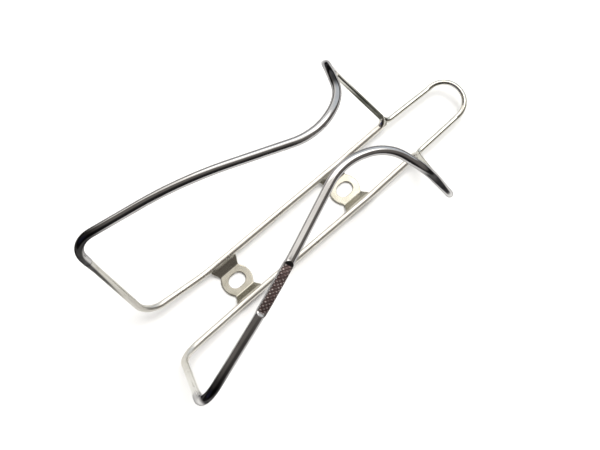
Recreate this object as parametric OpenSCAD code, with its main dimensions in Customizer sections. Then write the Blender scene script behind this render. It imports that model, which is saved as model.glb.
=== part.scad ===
// Wire bottle cage: two rails, two tube arms and a top loop, brazed together
// round two slotted mounting brackets.
// +Z points away from the bicycle tube, +Y along it towards the top loop, and
// the origin is midway between the two mounting holes on the brackets' backs.
// Every bent piece is a row of corner points joined by straight runs, with a
// bend of a stated radius at each corner. Points are for the right-hand side.

/* [Brackets] */
// Distance between the two mounting holes
hole_spacing = 64; // [60:0.5:68]
// Width of each slotted hole
slot_w = 6.2; // [5.4:0.1:6.6]
// Length of each slotted hole, along the cage
slot_l = 8; // [7:0.1:9]
// Thickness of the bracket sheet
sheet_t = 1.2; // [1:0.1:1.6]
// Diameter of the round seat about a hole
seat_d = 14.4; // [13:0.1:16]
// Distance from the middle of a bracket to its fold
fold_x = 6; // [5.6:0.1:6.4]
// Length of the fold, along the cage
fold_l = 10.4; // [9:0.1:12]
// Length of the flange where it meets a rail
flange_l = 13.8; // [11:0.1:15]

/* [Rails] */
// Diameter of the rail wire
rail_d = 3; // [2.8:0.1:3.2]
// Distance of a rail from the middle of the cage
rail_x = 10.5; // [10:0.1:11]
// Height of the rails over the bracket backs
rail_z = 4.4; // [4.2:0.1:4.8]
// Distance of the rails' slight bends from the middle
knee_y = 40; // [39.5:0.5:44]
// Bend radius at the knees
knee_r = 60; // [30:5:70]
// Heel, where a rail turns up under the bottle: sideways
heel_x = 12; // [11:0.1:14]
// Heel: distance below the middle
heel_y = 71; // [68:0.5:74]
// Heel: height
heel_z = 10.3; // [9:0.1:12]
// Bend radius at the heel
heel_r = 11; // [8:0.5:12]

/* [Arms] */
// Outside diameter of the arm tube
arm_d = 3.6; // [3.3:0.1:3.8]
// Outside diameter of the tube's swaged end at the tip
tip_d = 3.1; // [2.8:0.1:3.2]
// Bore of the arm tube
bore_d = 1.9; // [1.6:0.1:2]
// Foot corner, in front of the bottle's base: sideways
foot_x = 39; // [37:0.1:41]
// Foot corner: distance below the middle
foot_y = 73.8; // [72:0.1:76]
// Foot corner: height
foot_z = 61.9; // [60:0.1:64]
// Bend radius at the foot corner
foot_r = 11; // [8:0.5:12]
// Long gentle bend up the front of the arm: sideways
sweep_x = 26.1; // [25:0.1:27]
// Long gentle bend: distance below the middle
sweep_y = 28; // [26:0.1:30]
// Long gentle bend: height
sweep_z = 76.9; // [76:0.1:78]
// Radius of the long gentle bend
sweep_r = 130; // [100:5:140]
// Waist, where the two arms come closest: sideways
waist_x = 6.8; // [6:0.1:8]
// Waist: distance above the middle
waist_y = 19.4; // [18:0.1:20]
// Waist: height
waist_z = 78.9; // [78:0.1:80]
// Bend radius at the waist
waist_r = 24; // [20:1:24]
// Shoulder, where an arm turns out round the bottle: sideways
shoulder_x = 12.7; // [12:0.1:13.5]
// Shoulder: distance above the middle
shoulder_y = 36.8; // [36.5:0.1:38]
// Shoulder: height
shoulder_z = 76.3; // [75.5:0.1:77]
// Bend radius at the shoulder
shoulder_r = 19; // [15:1:19]
// Elbow, where an arm turns down the bottle's side: sideways
elbow_x = 28.1; // [28:0.1:29]
// Elbow: distance above the middle
elbow_y = 43.9; // [43.5:0.1:45]
// Elbow: height
elbow_z = 68.8; // [68:0.1:70]
// Bend radius at the elbow
elbow_r = 20; // [15:1:20]
// Tip, where an arm turns back to the rails: sideways
tip_x = 38; // [37:0.1:39]
// Tip: distance above the middle
tip_y = 51.9; // [51:0.1:53]
// Tip: height
tip_z = 44.2; // [43:0.1:46]
// Bend radius at the tip
tip_r = 5; // [4:0.5:6]

/* [Pressed pad on the right arm] */
// Length of the flattened pad, along the arm
pad_l = 20; // [15:0.5:22]
// Width of the pad
pad_w = 3.9; // [3.8:0.1:4.8]
// Thickness of the pad
pad_t = 2; // [1.6:0.1:2.4]

/* [Top loop] */
// Diameter of the top loop's wire
loop_d = 2.5; // [2.2:0.1:2.8]
// Junction, where rail, rod and loop meet: sideways
fork_x = 10.2; // [10:0.1:10.5]
// Junction: distance above the middle
fork_y = 66.4; // [65:0.1:68]
// Junction: height
fork_z = 7.4; // [7:0.1:8]
// Bend radius at the junction
fork_r = 4; // [3:0.5:5]
// Distance of the loop's sides from the middle of the cage
loop_x = 9.4; // [9.3:0.1:9.8]
// Radius of the two bends at the loop's round end
loop_r = 9.2; // [8:0.1:9.2]
// Distance from the middle to the start of the loop's round end
neck_y = 92; // [90:0.5:96]
// Upward tilt of the loop's round end
loop_tilt = 11; // [0:1:15]

/* [Joints] */
// Distance from the foot corner to the tube's open end
foot_mouth = 13; // [12.5:0.5:16]
// Distance from the tip to the tube's open end
tip_mouth = 7; // [6:0.5:9]
// Length of wire inside the tube
spigot_l = 2.5; // [1:0.5:2.5]
// Width of a braze ring round a tube's open end
ring_l = 0.9; // [0.6:0.1:1.5]
// Height of a braze ring over the wire it runs on to
ring_t = 0.3; // [0.2:0.05:0.4]
// Radius of the braze fillet at a junction
fillet_r = 2.3; // [2.1:0.1:2.5]
// Radius of the weld bead between a flange and a rail
bead_r = 0.8; // [0.6:0.1:1]
// Length of the weld bead
bead_l = 12; // [8:0.5:13]

/* [Hidden] */
$fn = 40;
far = 0.2;    // how far a cutting tool runs past what it cuts
hair = 0.04;  // how much thicker a bend is than the runs that end inside it
lap = 0.1;    // how far a run reaches into a bend
slip = 0.1;   // how much narrower a wire's end is than the bore it slips into

// Corner points of the right-hand side
knee_top = [rail_x, knee_y, rail_z];
knee_low = [rail_x, -knee_y, rail_z];
heel = [heel_x, -heel_y, heel_z];
foot = [foot_x, -foot_y, foot_z];
sweep = [sweep_x, -sweep_y, sweep_z];
waist = [waist_x, waist_y, waist_z];
shoulder = [shoulder_x, shoulder_y, shoulder_z];
elbow = [elbow_x, elbow_y, elbow_z];
tip = [tip_x, tip_y, tip_z];
fork = [fork_x, fork_y, fork_z];
neck = [loop_x, neck_y, fork_z];
crest = neck + [0, cos(loop_tilt), sin(loop_tilt)] * (loop_r + 1);

// The tube's two open ends
foot_end = along(foot, heel, foot_mouth);
tip_end = along(tip, fork, tip_mouth);

// The flange's slope aims the middle of the sheet at the middle of the rail
reach = norm([rail_x - fold_x, rail_z]);
flange_slope = atan2(rail_z, rail_x - fold_x) - asin(sheet_t / 2 / reach);
flange_run = sqrt(reach * reach - sheet_t * sheet_t / 4);

// ---- straight runs and bends ----

function unit(v) = v / norm(v);
function along(a, b, s) = a + unit(b - a) * s;
function bend_angle(a, b, c) = acos(unit(b - a) * unit(c - b));
function setback(a, b, c, r) = r * tan(bend_angle(a, b, c) / 2);
function flip(p) = [-p.x, p.y, p.z];

// A straight round bar from a to b
module bar(a, b, d1, d2)
    translate(a)
        rotate([0, acos((b - a).z / norm(b - a)), atan2((b - a).y, (b - a).x)])
            cylinder(h = norm(b - a), d1 = d1, d2 = d2);

// Puts its child in the plane of the bend at corner b on the way from a to c,
// with the bend's centre at the origin and its start on the X axis
module in_bend(a, b, c, r) {
    u = unit(b - a);
    m = unit(unit(c - b) - (unit(c - b) * u) * u);
    n = cross(u, m);
    o = b - u * setback(a, b, c, r) + m * r;
    multmatrix([[-m.x, u.x, n.x, o.x], [-m.y, u.y, n.y, o.y], [-m.z, u.z, n.z, o.z]])
        children();
}

// The part of that bend between two angles; the child is its cross section
module bend(a, b, c, r, from, to)
    in_bend(a, b, c, r) rotate([0, 0, from])
        rotate_extrude(angle = to - from) translate([r, 0]) children();

// A round wire through the points, with a bend of its own radius at each corner.
// d is its diameter, or a list with the diameter at each point. Bends are a hair
// thicker than the runs, which end inside them, so every seam is a clean circle.
module wire(points, radii, d) {
    last = len(points) - 1;
    cut = [for (i = [0:last]) i == 0 || i == last ? -lap :
           setback(points[i - 1], points[i], points[i + 1], radii[i - 1])];
    for (i = [0:last - 1])
        bar(along(points[i], points[i + 1], cut[i] - (i > 0 ? lap : -lap)),
            along(points[i + 1], points[i], cut[i + 1] - (i < last - 1 ? lap : -lap)),
            size_at(d, i), size_at(d, i + 1));
    for (i = [1:last - 1])
        bend(points[i - 1], points[i], points[i + 1], radii[i - 1], 0,
             bend_angle(points[i - 1], points[i], points[i + 1]))
            circle(d = size_at(d, i) + hair);
}

function size_at(d, i) = is_list(d) ? d[i] : d;

// ---- rails ----

module rail_wire()
    wire([fork, knee_top, knee_low, heel, foot_end], [knee_r, knee_r, heel_r], rail_d);

module rail() {
    difference() {
        rail_wire();
        wire([tip_end, fork, neck], [fork_r], loop_d);
    }
    spigot(foot_end, foot);
}

// The wire's turned-down end, which slips into a tube's bore
module spigot(mouth, inward)
    bar(mouth, along(mouth, inward, spigot_l), bore_d - slip, bore_d - slip);

module right_rail() color("gainsboro") rail();
module left_rail() color("gainsboro") mirror([1, 0, 0]) rail();

// ---- arms ----

// The last straight run narrows to the swaged end
module arm_outside()
    wire([foot_end, foot, sweep, waist, shoulder, elbow, tip, tip_end],
         [foot_r, sweep_r, waist_r, shoulder_r, elbow_r, tip_r],
         [arm_d, arm_d, arm_d, arm_d, arm_d, arm_d, tip_d, tip_d]);

module bore_low(stop)
    wire([along(foot_end, foot, -far), foot, stop], [foot_r], bore_d);

module bore_high(start)
    wire([start, waist, shoulder, elbow, tip, along(tip_end, tip, -far)],
         [waist_r, shoulder_r, elbow_r, tip_r], bore_d);

// Where the long gentle bend starts and ends
sweep_cut = setback(foot, sweep, waist, sweep_r);
sweep_start = along(sweep, foot, sweep_cut);
sweep_stop = along(sweep, waist, sweep_cut);

module left_arm() color("lightslategray") mirror([1, 0, 0])
    difference() {
        arm_outside();
        wire([along(foot_end, foot, -far), foot, sweep, waist, shoulder, elbow, tip,
              along(tip_end, tip, -far)],
             [foot_r, sweep_r, waist_r, shoulder_r, elbow_r, tip_r], bore_d);
    }

// The pad sits in the middle of the long gentle bend, where the tube is pressed
// flat and shut; its ends are round in plan.
pad_mid = bend_angle(foot, sweep, waist) / 2;
pad_half = pad_l / 2 / sweep_r * 180 / PI;

module pad_section(w, t) {
    square([t, w - t], center = true);
    for (s = [-1, 1]) translate([0, s * (w - t) / 2]) circle(d = t);
}

// Half of that section, a shade smaller, spun about the pad's face normal
module pad_end(at)
    in_bend(foot, sweep, waist, sweep_r) rotate([0, 0, at]) translate([sweep_r, 0, 0])
        rotate([0, 90, 0]) rotate_extrude() intersection() {
            rotate([0, 0, 90]) pad_section(pad_w - 2 * hair, pad_t - 2 * hair);
            translate([0, -pad_t]) square([pad_w, 2 * pad_t]);
        }

// The press: takes off the round tube outside the pad's thickness
module press()
    bend(foot, sweep, waist, sweep_r, pad_mid - pad_half + 0.08, pad_mid + pad_half - 0.08)
        for (s = [-1, 1])
            translate([s * (pad_t / 2 + arm_d / 2 - 0.05), 0])
                square([arm_d, arm_d + far], center = true);

module right_arm() color("lightslategray") {
    difference() {
        arm_outside();
        bore_low(sweep_start);
        bore_high(sweep_stop);
        press();
    }
    bend(foot, sweep, waist, sweep_r, pad_mid - pad_half, pad_mid + pad_half)
        pad_section(pad_w, pad_t);
    pad_end(pad_mid - pad_half);
    pad_end(pad_mid + pad_half);
}

// ---- top loop ----

module loop_wire()
    wire([tip_end, fork, neck, crest, flip(crest), flip(neck), flip(fork), flip(tip_end)],
         [fork_r, 4, loop_r, loop_r, 4, fork_r], loop_d);

module top_loop() color("silver") {
    loop_wire();
    spigot(tip_end, tip);
    spigot(flip(tip_end), flip(tip));
}

// ---- brackets ----

// One flange, from the fold up to the rail it is shaped against
module flange()
    translate([fold_x, 0, 0]) rotate([0, -flange_slope, 0])
        linear_extrude(height = sheet_t)
            polygon([[0, -fold_l / 2], [flange_run, -flange_l / 2],
                     [flange_run, flange_l / 2], [0, fold_l / 2]]);

module straight_rail()
    translate([rail_x, 0, rail_z]) rotate([90, 0, 0])
        cylinder(h = 2 * flange_l, d = rail_d, center = true);

module slot() {
    travel = (slot_l - slot_w) / 2;
    translate([0, 0, -far]) for (s = [-1, 1])
        translate([0, s * travel, 0]) cylinder(h = sheet_t + 2 * far, d = slot_w);
    translate([-slot_w / 2, -travel, -far]) cube([slot_w, 2 * travel, sheet_t + 2 * far]);
}

module bracket()
    difference() {
        union() {
            cylinder(h = sheet_t, d = seat_d);
            translate([-fold_x, -fold_l / 2, 0]) cube([2 * fold_x, fold_l, sheet_t]);
            flange();
            mirror([1, 0, 0]) flange();
        }
        slot();
        straight_rail();
        mirror([1, 0, 0]) straight_rail();
    }

module upper_bracket() color("wheat") translate([0, hole_spacing / 2, 0]) bracket();
module lower_bracket() color("tan") translate([0, -hole_spacing / 2, 0]) bracket();

// ---- brazes and welds ----

// A bead in the corner between a flange's top and its rail
module weld()
    difference() {
        translate([fold_x, 0, 0]) rotate([0, -flange_slope, 0])
            translate([flange_run - rail_d / 2, 0, sheet_t]) rotate([90, 0, 0])
                cylinder(h = bead_l, r = bead_r, center = true);
        straight_rail();
        flange();
        cylinder(h = sheet_t, d = seat_d);
    }

module upper_right_weld() color("gray") translate([0, hole_spacing / 2, 0]) weld();
module upper_left_weld() color("gray") mirror([1, 0, 0]) upper_right_weld();
module lower_right_weld() color("gray") translate([0, -hole_spacing / 2, 0]) weld();
module lower_left_weld() color("gray") mirror([1, 0, 0]) lower_right_weld();

// The fillet that joins a rail's end to the bend of the top loop
module fork_braze()
    difference() {
        translate(along(fork, knee_top, 0.8)) rotate([90, 0, 40]) sphere(r = fillet_r);
        wire([tip_end, fork, neck], [fork_r], loop_d);
        bar(fork, along(fork, knee_top, 10), rail_d, rail_d);
    }

module right_fork_braze() color("gray") fork_braze();
module left_fork_braze() color("gray") mirror([1, 0, 0]) fork_braze();

// A ring of braze on the wire, against a tube's open end
module ring(mouth, out, wire_d)
    difference() {
        bar(mouth, along(mouth, out, ring_l), wire_d + 2 * ring_t, wire_d + ring_t);
        bar(along(mouth, out, -far), along(mouth, out, ring_l + far), wire_d, wire_d);
    }

module right_foot_braze() color("gray") ring(foot_end, heel, rail_d);
module left_foot_braze() color("gray") mirror([1, 0, 0]) ring(foot_end, heel, rail_d);
module right_tip_braze() color("gray") ring(tip_end, fork, loop_d);
module left_tip_braze() color("gray") mirror([1, 0, 0]) ring(tip_end, fork, loop_d);

right_rail();
left_rail();
right_arm();
left_arm();
top_loop();
upper_bracket();
lower_bracket();
right_fork_braze();
left_fork_braze();
right_foot_braze();
left_foot_braze();
right_tip_braze();
left_tip_braze();
upper_right_weld();
upper_left_weld();
lower_right_weld();
lower_left_weld();
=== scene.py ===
"""Looks of the wire bottle cage: drawn and polished wire, pressed brackets and
brazed joints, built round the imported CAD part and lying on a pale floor.

Lengths are millimetres until MM turns them into Blender's metres. The axes are
the CAD part's: +Z up off the floor, +Y along the cage towards its top loop.
"""

import math

import bmesh
import bpy
from mathutils import Matrix, Vector


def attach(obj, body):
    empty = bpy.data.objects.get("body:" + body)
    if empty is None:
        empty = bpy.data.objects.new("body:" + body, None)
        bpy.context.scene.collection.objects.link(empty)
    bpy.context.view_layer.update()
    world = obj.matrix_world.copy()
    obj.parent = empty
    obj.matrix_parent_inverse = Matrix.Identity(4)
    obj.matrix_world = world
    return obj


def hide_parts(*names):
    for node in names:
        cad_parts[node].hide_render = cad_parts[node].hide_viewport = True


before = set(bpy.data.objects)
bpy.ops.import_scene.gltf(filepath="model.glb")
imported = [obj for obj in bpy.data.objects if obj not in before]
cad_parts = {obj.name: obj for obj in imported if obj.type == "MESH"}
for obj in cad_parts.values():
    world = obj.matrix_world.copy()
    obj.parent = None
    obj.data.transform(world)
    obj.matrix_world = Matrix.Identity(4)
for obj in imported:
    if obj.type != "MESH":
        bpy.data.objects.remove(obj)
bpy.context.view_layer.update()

MM = 0.001
LEFT = Matrix.Scale(-1, 4, (1, 0, 0))


# ---------------------------------------------------------------- camera

CAMERA_AT = Vector((66.9, -50.0, 343.8)) * MM
CAMERA_AIM = Vector((-0.85, 5.83, 0)) * MM
PICTURE_UP_HEADING = 138.98  # degrees from +X towards +Y
LENS_MM = 46.95  # on a 36 mm wide sensor


def make_camera():
    data = bpy.data.cameras.new("camera")
    data.lens = LENS_MM
    data.sensor_width = 36
    data.clip_start = 0.01
    cam = bpy.data.objects.new("camera", data)
    bpy.context.scene.collection.objects.link(cam)
    back = (CAMERA_AT - CAMERA_AIM).normalized()
    heading = math.radians(PICTURE_UP_HEADING)
    up = Vector((math.cos(heading), math.sin(heading), 0))
    right = up.cross(back).normalized()
    up = back.cross(right)
    turn = Matrix((right, up, back)).transposed()
    cam.matrix_world = Matrix.Translation(CAMERA_AT) @ turn.to_4x4()
    bpy.context.scene.camera = cam


make_camera()
bpy.context.scene.view_settings.view_transform = "Standard"


# ---------------------------------------------------------------- the wires' routes

# Corner points of the right-hand side, as the CAD part has them
KNEE_TOP = Vector((10.5, 40, 4.4))
KNEE_LOW = Vector((10.5, -40, 4.4))
HEEL = Vector((12, -71, 10.3))
FOOT = Vector((39, -73.8, 61.9))
SWEEP = Vector((26.1, -28, 76.9))
WAIST = Vector((6.8, 19.4, 78.9))
SHOULDER = Vector((12.7, 36.8, 76.3))
ELBOW = Vector((28.1, 43.9, 68.8))
TIP = Vector((38, 51.9, 44.2))
FORK = Vector((10.2, 66.4, 7.4))
NECK = Vector((9.4, 92, 7.4))
LOOP_TILT = math.radians(11)
CREST = NECK + Vector((0, math.cos(LOOP_TILT), math.sin(LOOP_TILT))) * 10.2

# Bend radii at those corners, in the order in which each wire meets them
RAIL_BENDS = (60, 60, 11)
ARM_BENDS = (11, 130, 24, 19, 20, 5)
LOOP_BENDS = (4, 4, 9.2, 9.2, 4, 4)

RAIL_D = 3.0
LOOP_D = 2.5
ARM_D = 3.6
TIP_D = 3.1
FOOT_MOUTH = 13  # from the foot corner to the tube's open end
TIP_MOUTH = 7
LIP = 0.5  # rounding of a tube's open end
NOSE = 1.2  # rounding of a rail's end inside the fork

PAD_L = 20  # the stretch of the right arm that is pressed flat
PAD_W = 3.9
PAD_T = 2.0
PAD_SLOPE = 1.9  # length over which the tube goes flat
PAD_SQUARE = 0.25  # how much squarer the pressing makes the section's sides
PAD_FILL = 0.35  # and how much fuller its top and bottom
FIELD_L = 9.5  # half length and half width of the pad's knurled field
FIELD_W = 1.62
FIELD_DEPTH = 0.1
KNURL_PITCH = 1.15
KNURL_HEIGHT = 0.14
KNURL_RUN, KNURL_ACROSS = 0.72, 0.69  # direction of the crossed grooves

BEND_STEP = 0.35  # spacing of the rings round a bend
RUN_STEP = 1.5  # and along a straight run
PAD_STEP = 0.14  # and over the pad
END_STEP = 0.12  # and over a rounded end
SIDES = 48


def toward(a, b, s):
    return a + (b - a).normalized() * s


def flip(p):
    return Vector((-p.x, p.y, p.z))


def smooth(low, high, x):
    t = min(1.0, max(0.0, (x - low) / (high - low)))
    return t * t * (3 - 2 * t)


FOOT_END = toward(FOOT, HEEL, FOOT_MOUTH)
TIP_END = toward(TIP, FORK, TIP_MOUTH)


def route(points, radii):
    """Stations (place, direction, distance from the start) along a bent wire, and
    each bend's (start distance, end distance, direction out of the bend)."""
    places, marks = [points[0]], []
    for a, b, c, r in zip(points, points[1:], points[2:], radii):
        u, w = (b - a).normalized(), (c - b).normalized()
        turn = u.angle(w)
        inward = (w - w.dot(u) * u).normalized()
        start = b - u * r * math.tan(turn / 2)
        steps = max(6, round(r * turn / BEND_STEP))
        run = (start - places[-1]).length
        for i in range(1, round(run / RUN_STEP)):
            places.append(places[-1].lerp(start, 1 / (round(run / RUN_STEP) - i + 1)))
        marks.append((len(places), len(places) + steps, -inward))
        for i in range(steps + 1):
            t = turn * i / steps
            places.append(start + u * r * math.sin(t) + inward * r * (1 - math.cos(t)))
    run = (points[-1] - places[-1]).length
    for i in range(1, round(run / RUN_STEP)):
        places.append(places[-1].lerp(points[-1], 1 / (round(run / RUN_STEP) - i + 1)))
    places.append(points[-1])
    stations, gone = [], 0.0
    for i, p in enumerate(places):
        before = places[max(i - 1, 0)]
        after = places[min(i + 1, len(places) - 1)]
        if i:
            gone += (p - before).length
        stations.append((p, (after - before).normalized(), gone))
    return stations, [(stations[i][2], stations[j][2], out) for i, j, out in marks]


def refine(stations, low, high, step):
    """Adds stations between two distances, so no two there are more than step apart."""
    fine = [stations[0]]
    for station in stations[1:]:
        p, u, s = fine[-1]
        q, w, t = station
        parts = math.ceil((t - s) / step) if t > low and s < high else 1
        for i in range(1, parts):
            k = i / parts
            bow = (t - s) * (k - k * k)  # follows the bend between the two
            fine.append((p.lerp(q, k) + (u - w) * bow * 0.5, u.lerp(w, k).normalized(),
                         s + (t - s) * k))
        fine.append(station)
    return fine


def link_object(name, mesh):
    data = bpy.data.meshes.new(name)
    mesh.to_mesh(data)
    mesh.free()
    piece = bpy.data.objects.new(name, data)
    bpy.context.scene.collection.objects.link(piece)
    return piece


def sweep(name, stations, ring, hint, mirrored=False, facing=None, shade=None):
    """A closed tube along the stations. ring(distance) gives the outline's points
    (across, out), where out lies along the hint as nearly as it can, or exactly
    along facing = (distance, direction) there. shade(distance, across, out, away)
    gives the surface's "field" and "mark" and its painted reflection (above 0 a painted
    dark reflection, below 0 a painted bright reflection); away is the way it faces."""
    frames, out = [], hint
    for place, ahead, gone in stations:
        out = (out - out.dot(ahead) * ahead).normalized()
        frames.append((place, ahead, out, gone))
    roll = 0.0
    if facing:
        place, ahead, out, gone = min(frames, key=lambda f: abs(f[3] - facing[0]))
        roll = math.atan2(facing[1].dot(ahead.cross(out)), facing[1].dot(out))
    mesh = bmesh.new()
    uv = mesh.loops.layers.uv.new("along")
    # the third attribute carries the painted reflection: above 0 painted dark, below 0 painted
    # bright
    field = mesh.verts.layers.float.new("field")
    mark = mesh.verts.layers.float.new("mark")
    painted_reflection = mesh.verts.layers.float.new("painted_reflection")
    rings = []
    for place, ahead, out, gone in frames:
        out = Matrix.Rotation(roll, 3, ahead) @ out
        across = ahead.cross(out)
        line = []
        for x, y in ring(gone):
            v = mesh.verts.new((place + across * x + out * y) * MM)
            if shade:
                away = (across * x + out * y).normalized()
                v[field], v[mark], v[painted_reflection] = shade(gone, x, y, away)
            line.append(v)
        rings.append(line)
    n = len(rings[0])
    for i in range(len(rings) - 1):
        for k in range(n):
            m = (k + 1) % n
            face = mesh.faces.new((rings[i][k], rings[i][m], rings[i + 1][m],
                                   rings[i + 1][k]))
            face.smooth = True
            here, there = frames[i][3], frames[i + 1][3]
            for loop, (s, v) in zip(face.loops, ((here, k), (here, k + 1),
                                                 (there, k + 1), (there, k))):
                loop[uv].uv = (s, v / n)
    for end, turn in ((rings[0], True), (rings[-1], False)):
        mesh.faces.new(list(reversed(end)) if turn else end)
    bmesh.ops.recalc_face_normals(mesh, faces=mesh.faces)
    if mirrored:
        bmesh.ops.transform(mesh, matrix=LEFT, verts=mesh.verts)
        bmesh.ops.reverse_faces(mesh, faces=mesh.faces)
    return link_object(name, mesh)


def circle(radius, sides=SIDES):
    return [(radius * math.sin(2 * math.pi * k / sides),
             radius * math.cos(2 * math.pi * k / sides)) for k in range(sides)]


def rounded(radius, inside, reach):
    """The radius, made smaller where the wire's end is less than reach mm away."""
    if inside >= reach:
        return radius
    t = 1 - inside / reach
    return radius - reach * (1 - math.sqrt(1 - t * t)) * 0.92


# ---------------------------------------------------------------- materials


def link(tree, a, b):
    tree.links.new(a, b)


def maths(tree, kind, a, b):
    node = tree.nodes.new("ShaderNodeMath")
    node.operation = kind
    for socket, value in zip(node.inputs, (a, b)):
        if isinstance(value, (int, float)):
            socket.default_value = value
        else:
            link(tree, value, socket)
    return node.outputs["Value"]


def spread(tree, value, low, high, to_low, to_high):
    node = tree.nodes.new("ShaderNodeMapRange")
    node.interpolation_type = "SMOOTHSTEP"
    for key, number in (("From Min", low), ("From Max", high),
                        ("To Min", to_low), ("To Max", to_high)):
        node.inputs[key].default_value = number
    link(tree, value, node.inputs["Value"])
    return node.outputs["Result"]


def blend(tree, factor, a, b):
    mix = tree.nodes.new("ShaderNodeMix")
    mix.data_type = "RGBA"
    sockets = [s for s in mix.inputs if s.type == "RGBA"]
    link(tree, factor, mix.inputs[0])
    for socket, value in zip(sockets, (a, b)):
        if isinstance(value, tuple):
            socket.default_value = (*value, 1)
        else:
            link(tree, value, socket)
    return [s for s in mix.outputs if s.type == "RGBA"][0]


def noise(tree, vector, scale, detail=3.0, stretch=None):
    if stretch:
        mapping = tree.nodes.new("ShaderNodeMapping")
        mapping.inputs["Scale"].default_value = stretch
        link(tree, vector, mapping.inputs["Vector"])
        vector = mapping.outputs["Vector"]
    node = tree.nodes.new("ShaderNodeTexNoise")
    node.inputs["Scale"].default_value = scale
    node.inputs["Detail"].default_value = detail
    link(tree, vector, node.inputs["Vector"])
    return node.outputs["Fac"]


MOTTLE = 190  # scales of the metals' patterns, per metre
CLOUD = 45
SCRATCH = 260
STUD_WEAR = 560
PAINTED_BRIGHT_REFLECTION = (0.86, 0.855, 0.84)  # pale metal colour of the painted bright reflection
ETCH_DARK = (0.19, 0.135, 0.132)  # the pad's field, and its studs' worn tops
ETCH_LIGHT = (0.32, 0.23, 0.225)
STUD_TOP = (0.62, 0.56, 0.55)


def metal(name, colour, worn, rough, edge, drawn, stretch, polish=None, marked=False,
          painted_dark_colour=None):
    """Metal with draw lines along the wire (or rolling lines along the sheet), a
    mottle of handling marks and fine scratches. rough = (least, most); edge is the
    specular colour at a glancing angle; polish = (distance, distance) buffs the stretch
    beyond; the last argument is the colour of a painted dark reflection, laid on where
    the mesh's painted reflection attribute is 1. Where that is below 0 a painted bright
    reflection of pale metal is laid on instead; marked adds the pad's etched field."""
    mat = bpy.data.materials.new(name)
    mat.use_nodes = True
    tree = mat.node_tree
    bsdf = tree.nodes["Principled BSDF"]
    bsdf.inputs["Metallic"].default_value = 1
    bsdf.inputs["Specular Tint"].default_value = (*edge, 1)
    where = tree.nodes.new("ShaderNodeTexCoord")
    along = tree.nodes.new("ShaderNodeUVMap")
    along.uv_map = "along"
    mottle = noise(tree, where.outputs["Object"], MOTTLE, 4)
    cloud = noise(tree, where.outputs["Object"], CLOUD, 2)
    lines = noise(tree, along.outputs["UV"], 1.0, 4, stretch)
    scratch = noise(tree, where.outputs["Object"], SCRATCH, 2, (1.0, 6.0, 3.0))
    shade = blend(tree, spread(tree, mottle, 0.3, 0.75, 0, 1), colour, worn)
    shade = blend(tree, spread(tree, lines, 0.55, 0.8, 0, 0.35), shade,
                  tuple(0.88 * c for c in worn))
    roughness = maths(tree, "ADD", spread(tree, cloud, 0.3, 0.7, *rough),
                      spread(tree, scratch, 0.55, 0.8, 0, 0.06))
    if polish:
        split = tree.nodes.new("ShaderNodeSeparateXYZ")
        link(tree, along.outputs["UV"], split.inputs["Vector"])
        buffed = spread(tree, split.outputs["X"], *polish, 1, 0.42)
        roughness = maths(tree, "MULTIPLY", roughness, buffed)
    height = maths(tree, "ADD", maths(tree, "MULTIPLY", lines, drawn),
                   maths(tree, "MULTIPLY", scratch, 0.4 * drawn))
    # Painted reflections: the colour goes towards a painted dark reflection where the attribute
    # read here is above 0, and towards a painted bright reflection where it is below 0.
    if painted_dark_colour:
        painted_reflection = tree.nodes.new("ShaderNodeAttribute")
        painted_reflection.attribute_name = "painted_reflection"
        painted_dark_share = maths(tree, "MULTIPLY", painted_reflection.outputs["Fac"],
                       spread(tree, mottle, 0.2, 0.6, 0.88, 1))
        shade = blend(tree, painted_dark_share, shade, painted_dark_colour)
        bright = maths(tree, "MULTIPLY", painted_reflection.outputs["Fac"], -1)
        shade = blend(tree, bright, shade, PAINTED_BRIGHT_REFLECTION)
    if marked:
        field = tree.nodes.new("ShaderNodeAttribute")
        field.attribute_name = "field"
        mark = tree.nodes.new("ShaderNodeAttribute")
        mark.attribute_name = "mark"
        etched = blend(tree, spread(tree, mottle, 0.35, 0.7, 0, 1),
                       ETCH_DARK, ETCH_LIGHT)
        wear = noise(tree, where.outputs["Object"], STUD_WEAR, 2)
        worn_top = maths(tree, "MULTIPLY", mark.outputs["Fac"],
                         spread(tree, wear, 0.42, 0.58, 0.1, 1))
        etched = blend(tree, worn_top, etched, STUD_TOP)
        shade = blend(tree, field.outputs["Fac"], shade, etched)
        roughness = maths(tree, "ADD", roughness,
                          maths(tree, "MULTIPLY", field.outputs["Fac"], 0.28))
    link(tree, shade, bsdf.inputs["Base Color"])
    link(tree, roughness, bsdf.inputs["Roughness"])
    bump = tree.nodes.new("ShaderNodeBump")
    bump.inputs["Strength"].default_value = 0.35
    bump.inputs["Distance"].default_value = 0.00002
    link(tree, height, bump.inputs["Height"])
    link(tree, bump.outputs["Normal"], bsdf.inputs["Normal"])
    return mat


WIRE_LINES = (0.05, 34, 1)  # draw lines: long along the wire, fine round it
SHEET_LINES = (0.9, 7.0, 1)

# The last colour given to a metal below, where there is one, is its painted dark reflection.
RAIL_STEEL = metal("rail_steel", (0.69, 0.67, 0.625), (0.64, 0.62, 0.57), (0.26, 0.36),
                   (0.75, 0.75, 0.72), 0.2, WIRE_LINES, polish=(150, 176),
                   painted_dark_colour=(0.035, 0.034, 0.034))
ARM_STEEL = metal("arm_steel", (0.48, 0.475, 0.475), (0.43, 0.42, 0.42), (0.05, 0.12),
                  (0.3, 0.3, 0.31), 0.5, WIRE_LINES, marked=True,
                  painted_dark_colour=(0.023, 0.022, 0.022))
LOOP_STEEL = metal("loop_steel", (0.64, 0.63, 0.585), (0.56, 0.55, 0.50), (0.10, 0.17),
                   (0.6, 0.6, 0.58), 0.8, WIRE_LINES, painted_dark_colour=(0.10, 0.10, 0.085))
SHEET_STEEL = metal("sheet_steel", (0.435, 0.42, 0.37), (0.36, 0.345, 0.295),
                    (0.15, 0.24), (0.7, 0.7, 0.66), 1.2, SHEET_LINES)
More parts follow.
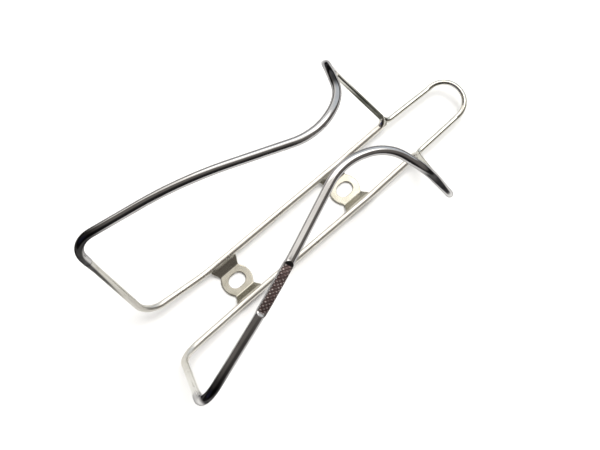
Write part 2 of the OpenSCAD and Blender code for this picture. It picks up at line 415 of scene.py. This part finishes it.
BRAZE = metal("braze", (0.62, 0.605, 0.57), (0.55, 0.53, 0.49), (0.11, 0.18),
              (0.7, 0.7, 0.68), 0.9, (0.6, 6, 1), painted_dark_colour=(0.03, 0.029, 0.034))
WELD = metal("weld", (0.42, 0.40, 0.35), (0.38, 0.36, 0.31), (0.36, 0.42),
             (0.7, 0.7, 0.68), 0.15, (0.9, 5, 1))


def finish_piece(piece, material, slot, *nodes):
    piece.data.materials.append(material)
    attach(piece, "root")
    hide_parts(*nodes)


# ---------------------------------------------------------------- wires

SIDE_NAMES = (("right", False), ("left", True))


# Painted dark and bright reflections at the foot corners, laid into the metals' colour.
PAINTED_DARK_MOST = 0.96  # strength of the painted dark reflection, and of the painted bright reflection beside it
PAINTED_BRIGHT_MOST = 0.85
RIGHT_PAINTED_DARK_FROM = (8.5, 11.5)  # distances past the foot tube's mouth, here and below
PAINTED_DARK_UNTIL = (17, 32)
PAINTED_BRIGHT_FROM = (-45, 0)
PAINTED_DULL_FROM = (-56, -40)
PAINTED_DULL = 0.2
PAINTED_STREAK_L = 36  # length of the painted dark reflection streak on the left strut


def foot_painted_reflection(side, past_mouth, away):
    """A painted dark reflection darkens the foot corner (1 is dark, below 0 is a
    painted bright reflection). The right strut gets the painted bright reflection. On
    the left a painted dark streak runs down the strut's lower side and narrows away
    from the corner."""
    until = 1 - smooth(*PAINTED_DARK_UNTIL, past_mouth)
    if side == "right":
        dark = smooth(*RIGHT_PAINTED_DARK_FROM, past_mouth + away.y)
        return PAINTED_DARK_MOST * dark * until - PAINTED_BRIGHT_MOST * (1 - dark) * smooth(*PAINTED_BRIGHT_FROM, past_mouth)
    narrow = -min(past_mouth, 0) / PAINTED_STREAK_L
    edge = 0.8 * narrow - 0.45
    streak = PAINTED_DARK_MOST * smooth(edge, edge + 0.5, -away.y)
    streak *= (1 - smooth(0.35, 1, narrow)) * until
    return max(streak, PAINTED_DULL * smooth(*PAINTED_DULL_FROM, past_mouth) * (past_mouth < 0))


# Where the painted dark reflection streaks at the arms' tips start, from the elbow's end, and
# face
TIP_START = -8
TIP_START_LEFT = -20
TIP_END_LEFT = -3
TIP_OUTSIDE = Vector((0.93, -0.14, 0.33)).normalized()
TIP_OUTSIDE_LEFT = Vector((0.6, 0, 0.8)).normalized()


def tip_painted_reflection(side, gone, elbow, tip, away):
    """A painted dark reflection streak on the outside of each arm narrows to a point
    before the tip, and the metal beside it and beyond it gets a painted bright reflection."""
    if side == "left":
        start, end, outside = elbow + TIP_START_LEFT, elbow + TIP_END_LEFT, TIP_OUTSIDE_LEFT
    else:
        start, end, outside = elbow + TIP_START, tip, TIP_OUTSIDE
    narrow = min(1.0, max(0.0, (gone - start) / (end - start)))
    edge = 0.7 + 0.28 * narrow
    dark = (smooth(start - 3, start + 3, gone) * (1 - smooth(0.85, 1, narrow))
            * smooth(edge - 0.1, edge, away.dot(outside)))
    return PAINTED_DARK_MOST * dark - PAINTED_BRIGHT_MOST * (1 - dark) * smooth(start, elbow + 3, gone)


def rail_piece(side, mirrored):
    stations, _ = route([FORK, KNEE_TOP, KNEE_LOW, HEEL, FOOT_END], RAIL_BENDS)
    stations = refine(stations, 0, NOSE, END_STEP)
    length = stations[-1][2]

    def shade(gone, x, y, away):
        # painted dark and bright reflections towards the foot
        return 0.0, 0.0, foot_painted_reflection(side, gone - length, away)

    rail = sweep(side + "_rail_wire", stations,
                 lambda gone: circle(rounded(RAIL_D / 2, gone, NOSE)),
                 Vector((0, 0, 1)), mirrored, shade=shade)
    finish_piece(rail, RAIL_STEEL, "rail_wire", side + "_rail")


def pad_outline(s, rolled):
    """The right arm's section s mm from the middle of the pad."""
    press = 1 - smooth(PAD_L / 2 - PAD_SLOPE * 0.4, PAD_L / 2 + PAD_SLOPE * 0.6, abs(s))
    outline = []
    for x, y in rolled:
        if press > 0:
            flat = PAD_T / 2 + (ARM_D - PAD_T) / 2 * (1 - press)
            wide = ARM_D / 2 + (PAD_W - ARM_D) / 2 * press
            edge = abs(x) / (ARM_D / 2)
            x = math.copysign(wide * edge ** (1 - PAD_SQUARE * press), x)
            y = math.copysign(min(abs(y) * (1 + PAD_FILL * press),
                                  flat - PAD_SQUARE * press * edge ** 4), y)
            if y > 0:
                inside = field_share(s, x)
                y += inside * (KNURL_HEIGHT * knurl_share(s, x) - FIELD_DEPTH)
        outline.append((x, y))
    return outline


def field_share(s, x):
    """1 inside the pad's marked field, 0 outside; its ends are round in plan."""
    over = max(0.0, abs(s) - (FIELD_L - FIELD_W))
    away = math.hypot(over, x) - FIELD_W
    return 1 - smooth(-0.12, 0.12, away)


def knurl_share(s, x):
    """Height of the small diamond studs left between two sets of crossed grooves."""
    turn = 2 * math.pi / KNURL_PITCH
    one = 0.5 + 0.5 * math.cos(turn * (KNURL_RUN * s + KNURL_ACROSS * x))
    two = 0.5 + 0.5 * math.cos(turn * (KNURL_RUN * s - KNURL_ACROSS * x))
    return smooth(0.22, 0.6, one * two)


def arm_piece(side, mirrored, padded):
    stations, bends = route(
        [FOOT_END, FOOT, SWEEP, WAIST, SHOULDER, ELBOW, TIP, TIP_END], ARM_BENDS)
    length = stations[-1][2]
    taper = (bends[4][1], bends[5][0])
    pad_at = (bends[1][0] + bends[1][1]) / 2
    stations = refine(stations, 0, LIP, END_STEP)
    stations = refine(stations, length - LIP, length, END_STEP)
    facing = None
    if padded:
        stations = refine(stations, pad_at - PAD_L / 2 - PAD_SLOPE,
                          pad_at + PAD_L / 2 + PAD_SLOPE, PAD_STEP)
        facing = (pad_at, bends[1][2])

    def ring(gone):
        radius = ARM_D / 2 + (TIP_D - ARM_D) / 2 * smooth(*taper, gone)
        radius = rounded(radius, min(gone, length - gone), LIP)
        outline = circle(radius)
        return pad_outline(gone - pad_at, outline) if padded else outline

    def shade(gone, x, y, away):
        # painted dark and bright reflections at the foot corner and at the tip
        painted_reflection = foot_painted_reflection(side, gone, away)
        painted_reflection += tip_painted_reflection(side, gone, *taper, away)
        if not padded or y < 0 or abs(gone - pad_at) > PAD_L / 2:
            return 0.0, 0.0, painted_reflection
        return field_share(gone - pad_at, x), knurl_share(gone - pad_at, x), painted_reflection

    arm = sweep(side + "_arm_tube", stations, ring, Vector((1, 0, 0)), mirrored,
                facing, shade)
    finish_piece(arm, ARM_STEEL, "arm_tube", side + "_arm")


for side, mirrored in SIDE_NAMES:
    rail_piece(side, mirrored)
    arm_piece(side, mirrored, padded=not mirrored)

loop_stations = route([TIP_END, FORK, NECK, CREST, flip(CREST), flip(NECK),
                       flip(FORK), flip(TIP_END)], LOOP_BENDS)[0]


ROD_PAINTED_DARK_FROM = (4, 20)  # painted dark reflection on the left rod: distances from its tip
ROD_PAINTED_DARK_UNTIL = (39, 42)


# The left rod gets a painted dark reflection near its tip.
def loop_shade(gone, x, y, away):
    from_tip = loop_stations[-1][2] - gone
    return 0.0, 0.0, (smooth(*ROD_PAINTED_DARK_FROM, from_tip)
                      * (1 - smooth(*ROD_PAINTED_DARK_UNTIL, from_tip)))


loop = sweep("top_loop_wire", loop_stations, lambda gone: circle(LOOP_D / 2),
             Vector((0, 0, 1)), shade=loop_shade)
finish_piece(loop, LOOP_STEEL, "loop_wire", "top_loop")


# ---------------------------------------------------------------- brackets

HOLE_SPACING = 64
SHEET_T = 1.2
SEAT_R = 7.2
SLOT_R = 3.1
SLOT_TRAVEL = 0.9
NECK_W = 5.2  # half length of the fold, along the cage
FLANGE_W = 6.9
FOLD_X = 6
FOLD_R = 1.8  # bend radius of the middle of the sheet
RAIL_X = 10.5
RAIL_Z = 4.4
REACH = math.hypot(RAIL_X - FOLD_X, RAIL_Z)
SLOPE = math.atan2(RAIL_Z, RAIL_X - FOLD_X) - math.asin(SHEET_T / 2 / REACH)
BEND_START = FOLD_X - (SHEET_T / 2 + FOLD_R) * math.tan(SLOPE / 2)
FLANGE_RUN = 4.0  # from the end of the fold to the side of the rail
EDGE_ROUND = 0.24
NECK_BLEND = 0.45  # rounding of the corner between seat and neck
HOLE_COLUMNS = 14  # columns of faces on each side, over the slot and beyond it
SIDE_COLUMNS = 22
ROWS = (6, 4, 6)  # rows of faces before, across and after the slot


def sheet_place(u, y):
    """Where the middle of the sheet lies, u mm across from the bracket's centre."""
    side, u = math.copysign(1, u), abs(u)
    arc = FOLD_R * SLOPE
    if u <= BEND_START:
        x, z = u, 0.0
    elif u <= BEND_START + arc:
        t = (u - BEND_START) / FOLD_R
        x, z = BEND_START + FOLD_R * math.sin(t), FOLD_R * (1 - math.cos(t))
    else:
        run = u - BEND_START - arc
        x = BEND_START + FOLD_R * math.sin(SLOPE) + run * math.cos(SLOPE)
        z = FOLD_R * (1 - math.cos(SLOPE)) + run * math.sin(SLOPE)
    return Vector((side * x, y, z + SHEET_T / 2))


def half_length(u):
    """Half the sheet's length along the cage: a round seat, a neck, a flange."""
    u = abs(u)
    seat = math.sqrt(max(0.0, SEAT_R ** 2 - u ** 2))
    flange = NECK_W + (FLANGE_W - NECK_W) * smooth(
        FOLD_X - 0.8, BEND_START + FOLD_R * SLOPE + FLANGE_RUN, u)
    return (seat + flange + math.hypot(seat - flange, NECK_BLEND)) / 2 - 0.05


def bracket_piece(name, middle, node):
    edge = BEND_START + FOLD_R * SLOPE + FLANGE_RUN
    columns = sorted({round(SLOT_R * math.sin(math.pi / 2 * k / HOLE_COLUMNS), 6)
                      for k in range(-HOLE_COLUMNS, HOLE_COLUMNS + 1)}
                     | {round(s * (SLOT_R + (edge - SLOT_R) * k / SIDE_COLUMNS), 6)
                        for k in range(1, SIDE_COLUMNS + 1) for s in (-1, 1)})
    mesh = bmesh.new()
    uv = mesh.loops.layers.uv.new("along")
    grid = []
    for u in columns:
        outer = half_length(u)
        if abs(u) <= SLOT_R:
            inner = SLOT_TRAVEL + math.sqrt(max(0.0, SLOT_R ** 2 - u * u))
        else:
            inner = SLOT_TRAVEL + (outer * 0.35 - SLOT_TRAVEL) * smooth(
                SLOT_R, edge, abs(u))
        stops = [-outer, -inner, inner, outer]
        ys = [stops[i] + (stops[i + 1] - stops[i]) * k / ROWS[i]
              for i in range(3) for k in range(ROWS[i])] + [outer]
        grid.append([(mesh.verts.new((sheet_place(u, y) + Vector((0, middle, 0))) * MM),
                      (u, y)) for y in ys])
    for i in range(len(columns) - 1):
        hole = abs(columns[i] + columns[i + 1]) / 2 < SLOT_R
        for k in range(sum(ROWS)):
            if hole and ROWS[0] <= k < ROWS[0] + ROWS[1]:
                continue
            quad = (grid[i][k], grid[i + 1][k], grid[i + 1][k + 1], grid[i][k + 1])
            face = mesh.faces.new([v for v, _ in quad])
            face.smooth = True
            for loop, (_, place) in zip(face.loops, quad):
                loop[uv].uv = place
    for v in [v for v in mesh.verts if not v.link_faces]:
        mesh.verts.remove(v)
    draft = link_object(name + "_draft", mesh)
    thick = draft.modifiers.new("thickness", "SOLIDIFY")
    thick.thickness = SHEET_T * MM
    thick.offset = 0
    thick.use_even_offset = True
    soften = draft.modifiers.new("rounded_edges", "BEVEL")
    soften.width = EDGE_ROUND * MM
    soften.segments = 3
    soften.angle_limit = math.radians(50)
    soften.use_clamp_overlap = False
    graph = bpy.context.evaluated_depsgraph_get()
    data = bpy.data.meshes.new_from_object(draft.evaluated_get(graph))
    data.name = name
    bpy.data.objects.remove(draft)
    for face in data.polygons:
        face.use_smooth = True
    piece = bpy.data.objects.new(name, data)
    bpy.context.scene.collection.objects.link(piece)
    finish_piece(piece, SHEET_STEEL, "bracket_sheet", node)


BEAD_L = 12
BEAD_R = 0.56
BEAD_RINGS = 60
BEAD_SIDES = 20
BEAD_NOSE = 1.5  # length over which each end rounds off


def weld_piece(name, middle, mirrored, node):
    """A smooth, slightly uneven bead in the corner between flange and rail."""
    along = REACH * math.cos(math.asin(SHEET_T / 2 / REACH)) - RAIL_D / 2
    x = FOLD_X + along * math.cos(SLOPE) - SHEET_T * math.sin(SLOPE)
    z = along * math.sin(SLOPE) + SHEET_T * math.cos(SLOPE)
    stations = [(Vector((x, middle + BEAD_L * (k / BEAD_RINGS - 0.5), z)),
                 Vector((0, 1, 0)), BEAD_L * k / BEAD_RINGS)
                for k in range(BEAD_RINGS + 1)]

    def ring(gone):
        end = min(gone, BEAD_L - gone)
        uneven = math.sin(1.3 * gone) + math.sin(2.9 * gone + 1)
        radius = BEAD_R * (1 + 0.012 * uneven)
        return circle(radius * math.sqrt(min(1.0, 0.03 + end / BEAD_NOSE)), BEAD_SIDES)

    bead = sweep(name, stations, ring, Vector((0, 0, 1)), mirrored)
    finish_piece(bead, WELD, "weld", node)


for place, middle in (("upper", HOLE_SPACING / 2), ("lower", -HOLE_SPACING / 2)):
    bracket_piece(place + "_bracket_sheet", middle, place + "_bracket")
    for side, mirrored in SIDE_NAMES:
        stem = place + "_" + side + "_weld"
        weld_piece(stem + "_bead", middle, mirrored, stem)


# ---------------------------------------------------------------- brazes

FOOT_COLLAR = 7.0  # how far a braze runs out along the wire
TIP_COLLAR = 2.4
FORK_WEB = 3.6  # the fork's web: bend radius, and its reach along rod and rail
WEB_REACH = 6.5
WEB_STEP = 0.3
WEB_BULGE = 0.16
COLLAR_RINGS = 24
COLLAR_LAP = 0.3  # how far it starts inside the tube's mouth


def collar_piece(name, mouth, out, tube_r, wire_r, length, side, mirrored, node):
    """A hollow-sided fillet from a tube's open end down on to its wire."""
    ahead = (out - mouth).normalized()
    stations = [(mouth + ahead * (length * k / COLLAR_RINGS - COLLAR_LAP), ahead,
                 length * k / COLLAR_RINGS) for k in range(COLLAR_RINGS + 1)]

    def ring(gone):
        t = gone / length
        return circle(wire_r - 0.02 + (tube_r - 0.06 - wire_r) * (1 - smooth(0, 1, t)))

    def shade(gone, x, y, away):
        # painted dark reflection on the foot collars
        return 0.0, 0.0, foot_painted_reflection(side, -gone, away) if mouth is FOOT_END else 0.0

    collar = sweep(name, stations, ring, Vector((0, 0, 1)), mirrored, shade=shade)
    finish_piece(collar, BRAZE, "braze", node)


def fork_piece(name, mirrored, node):
    """The web of braze that carries the rod's line round on to the rail."""
    start = toward(FORK, TIP_END, WEB_REACH)
    end = toward(FORK, KNEE_TOP, WEB_REACH)
    stations, _ = route([start, FORK, end], [FORK_WEB])
    length = stations[-1][2]
    stations = refine(stations, 0, length, WEB_STEP)

    def ring(gone):
        grow = smooth(0, length * 0.55, gone)
        radius = LOOP_D / 2 - 0.12 + (RAIL_D / 2 - LOOP_D / 2 + 0.02) * grow
        radius += WEB_BULGE * math.sin(math.pi * gone / length) ** 2
        return circle(radius)

    web = sweep(name, stations, ring, Vector((0, 0, 1)), mirrored)
    finish_piece(web, BRAZE, "braze", node)


for side, mirrored in SIDE_NAMES:
    collar_piece(side + "_foot_braze_fillet", FOOT_END, HEEL, ARM_D / 2, RAIL_D / 2,
                 FOOT_COLLAR, side, mirrored, side + "_foot_braze")
    collar_piece(side + "_tip_braze_fillet", TIP_END, FORK, TIP_D / 2, LOOP_D / 2,
                 TIP_COLLAR, side, mirrored, side + "_tip_braze")
    fork_piece(side + "_fork_braze_web", mirrored, side + "_fork_braze")


# ---------------------------------------------------------------- floor and light

FLOOR_HALF = 4.0  # metres, like all lengths below
SHEET_RADIUS = 0.26  # the paper stays white this far out
TABLE_RADIUS = 0.42  # and has given way to a grey table here


def make_floor():
    """A white sheet of paper that fades into a grey table some way out."""
    mesh = bmesh.new()
    bmesh.ops.create_grid(mesh, x_segments=8, y_segments=8, size=FLOOR_HALF)
    floor = link_object("floor", mesh)
    floor.location.z = -0.0001
    mat = bpy.data.materials.new("floor_paper")
    mat.use_nodes = True
    tree = mat.node_tree
    bsdf = tree.nodes["Principled BSDF"]
    bsdf.inputs["Specular IOR Level"].default_value = 0.1
    where = tree.nodes.new("ShaderNodeTexCoord")
    far = tree.nodes.new("ShaderNodeVectorMath")
    far.operation = "LENGTH"
    link(tree, where.outputs["Object"], far.inputs[0])
    fibre = noise(tree, where.outputs["Object"], 900, 5)
    pulp = noise(tree, where.outputs["Object"], 60, 3)
    paper = blend(tree, spread(tree, fibre, 0.3, 0.7, 0, 1), (0.885, 0.887, 0.885),
                  (0.90, 0.90, 0.897))
    paper = blend(tree, spread(tree, pulp, 0.3, 0.7, 0, 0.5), paper,
                  (0.895, 0.893, 0.885))
    shade = blend(tree, spread(tree, far.outputs["Value"], SHEET_RADIUS, TABLE_RADIUS,
                               0, 1), paper, (0.10, 0.10, 0.10))
    link(tree, shade, bsdf.inputs["Base Color"])
    link(tree, spread(tree, fibre, 0.2, 0.8, 0.9, 1.0), bsdf.inputs["Roughness"])
    bump = tree.nodes.new("ShaderNodeBump")
    bump.inputs["Strength"].default_value = 0.15
    bump.inputs["Distance"].default_value = 0.00002
    link(tree, fibre, bump.inputs["Height"])
    link(tree, bump.outputs["Normal"], bsdf.inputs["Normal"])
    floor.data.materials.append(mat)


def panel(name, centre, aim, size, radiance, colour, spin=0.0):
    """A soft rectangular light, turned by spin about its own axis."""
    data = bpy.data.lights.new(name, "AREA")
    data.shape = "RECTANGLE"
    data.size, data.size_y = size
    data.energy = radiance * math.pi * size[0] * size[1]
    data.color = colour
    lamp = bpy.data.objects.new(name, data)
    bpy.context.scene.collection.objects.link(lamp)
    centre, aim = Vector(centre), Vector(aim)
    turn = (centre - aim).to_track_quat("Z", "Y").to_matrix().to_4x4()
    lamp.matrix_world = Matrix.Translation(centre) @ turn @ Matrix.Rotation(spin, 4, "Z")
    return lamp


def make_world():
    """A room with one big bright window wall towards -X +Y. The rest is dim:
    brownish grey, nearly black towards +X -Y and bluish low down at -Y."""
    world = bpy.data.worlds.new("room")
    bpy.context.scene.world = world
    world.use_nodes = True
    tree = world.node_tree
    back = tree.nodes["Background"]
    where = tree.nodes.new("ShaderNodeTexCoord")

    def facing(direction, low, high):
        dot = tree.nodes.new("ShaderNodeVectorMath")
        dot.operation = "DOT_PRODUCT"
        dot.inputs[1].default_value = Vector(direction).normalized()
        link(tree, where.outputs["Generated"], dot.inputs[0])
        return spread(tree, dot.outputs["Value"], low, high, 0, 1)

    colour = blend(tree, facing((0.68, -0.76, 0.3), 0.6, 0.95), ROOM, ROOM_DARK)
    colour = blend(tree, facing((-0.1, -1, 0.2), 0.84, 0.98), colour, ROOM_BLUE)
    window = blend(tree, facing(WINDOW_NEAR_SIDE, 0.3, 0.75), WINDOW_WARM, WINDOW_COOL)
    inside = maths(tree, "MULTIPLY", facing(WINDOW_NEAR_SIDE, *WINDOW_EDGE),
                   facing(WINDOW_RIGHT_SIDE, -0.04, 0.16))
    inside = maths(tree, "MULTIPLY", inside, facing((0, 0, 1), 0.02, 0.2))
    colour = blend(tree, inside, colour, window)
    colour = blend(tree, facing((0, 0, -1), -0.16, -0.02), colour, (0.05, 0.05, 0.05))
    link(tree, colour, back.inputs["Color"])


ROOM = (0.235, 0.215, 0.20)
ROOM_DARK = (0.022, 0.021, 0.021)
ROOM_BLUE = (0.13, 0.13, 0.25)
WINDOW_NEAR_SIDE = (-0.33, 0.94, -0.06)  # looking in from each of its two edges
WINDOW_RIGHT_SIDE = (-0.917, 0.18, 0.357)
WINDOW_EDGE = (-0.1, -0.02)
WINDOW_WARM = (1.55, 1.5, 1.42)
WINDOW_COOL = (0.98, 1.04, 1.10)

make_floor()
make_world()
KEY_H = 0.9
KEY_X, KEY_Y = -0.55 * KEY_H, 0.33 * KEY_H
KEY_SIZE = (1.9 * KEY_H, 0.45 * KEY_H)
KEY_RADIANCE = 1.9
TOP_AT = (-0.06, 0.23, 1.2)
TOP_RADIANCE = 9.0
panel("key", (KEY_X, KEY_Y, KEY_H), (KEY_X, KEY_Y, 0), KEY_SIZE, KEY_RADIANCE,
      (1, 0.985, 0.94), math.radians(18))
top = panel("overhead", TOP_AT, (0, 0, 0), (0.6, 0.6), TOP_RADIANCE, (1, 0.995, 0.98))
top.visible_glossy = False  # it lights the floor only
